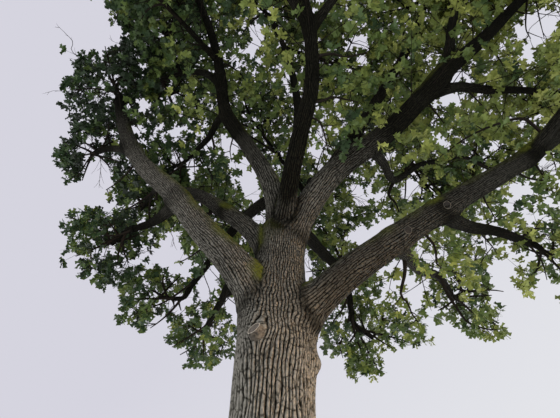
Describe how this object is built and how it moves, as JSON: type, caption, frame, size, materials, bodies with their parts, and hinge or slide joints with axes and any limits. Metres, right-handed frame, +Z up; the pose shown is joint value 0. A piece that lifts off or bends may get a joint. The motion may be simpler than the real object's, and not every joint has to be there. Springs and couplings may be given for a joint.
{
  "type": "oak tree",
  "caption": "Mature broad-crowned oak in full leaf: a stout furrowed trunk forking into spreading boughs that carry separate masses of foliage.",
  "frame": {"origin": "centre of the flat cut under the trunk, at ground level", "axes": "+Z up, the front of the tree (the side the picture was taken from) looks along -Y, +X is the tree's right-hand side in the picture"},
  "size_m": [13.8613, 11.5391, 16.4753],
  "materials": {
    "bole_bark": "rough furrowed bark",
    "branch_bark": "rough dark bark",
    "foliage": "matt leaves"
  },
  "bodies": {
    "root": {"back_bough": "bole_bark", "back_hanging_branch": "branch_bark", "back_left_bough": "bole_bark", "back_left_branch": "branch_bark", "back_right_branch": "branch_bark", "front_bough": "bole_bark", "front_left_branch": "branch_bark", "front_right_branch": "branch_bark", "high_left_branch": "branch_bark", "inner_left_branch": "branch_bark", "leaves_back": "foliage", "leaves_back_hanging": "foliage", "leaves_back_left": "foliage", "leaves_back_left_high": "foliage", "leaves_back_low_left": "foliage", "leaves_back_low_right": "foliage", "leaves_back_right": "foliage", "leaves_back_right_top": "foliage", "leaves_back_top": "foliage", "leaves_crown_left": "foliage", "leaves_front": "foliage", "leaves_front_left": "foliage", "leaves_front_right": "foliage", "leaves_high_left": "foliage", "leaves_inner_left": "foliage", "leaves_inner_top": "foliage", "leaves_left": "foliage", "leaves_left_front": "foliage", "leaves_left_low": "foliage", "leaves_level_right": "foliage", "leaves_low_back_left": "foliage", "leaves_low_back_right": "foliage", "leaves_lowest_left": "foliage", "leaves_right": "foliage", "leaves_right_front": "foliage", "leaves_right_hanging": "foliage", "leaves_right_low": "foliage", "leaves_rising_right": "foliage", "leaves_top": "foliage", "leaves_top_left": "foliage", "leaves_top_middle": "foliage", "leaves_upper_left": "foliage", "leaves_upright_right": "foliage", "left_bough": "bole_bark", "left_low_branch": "branch_bark", "left_outer_branch": "branch_bark", "level_right_branch": "branch_bark", "low_back_left_bough": "bole_bark", "low_back_right_bough": "bole_bark", "lowest_left_bough": "bole_bark", "right_bough": "bole_bark", "right_front_branch": "branch_bark", "right_hanging_branch": "branch_bark", "right_low_branch": "branch_bark", "rising_left_bough": "bole_bark", "rising_right_bough": "bole_bark", "top_leader": "bole_bark", "trunk": "bole_bark", "upright_leader": "bole_bark", "upright_right_branch": "branch_bark"}
  },
  "joints": []
}
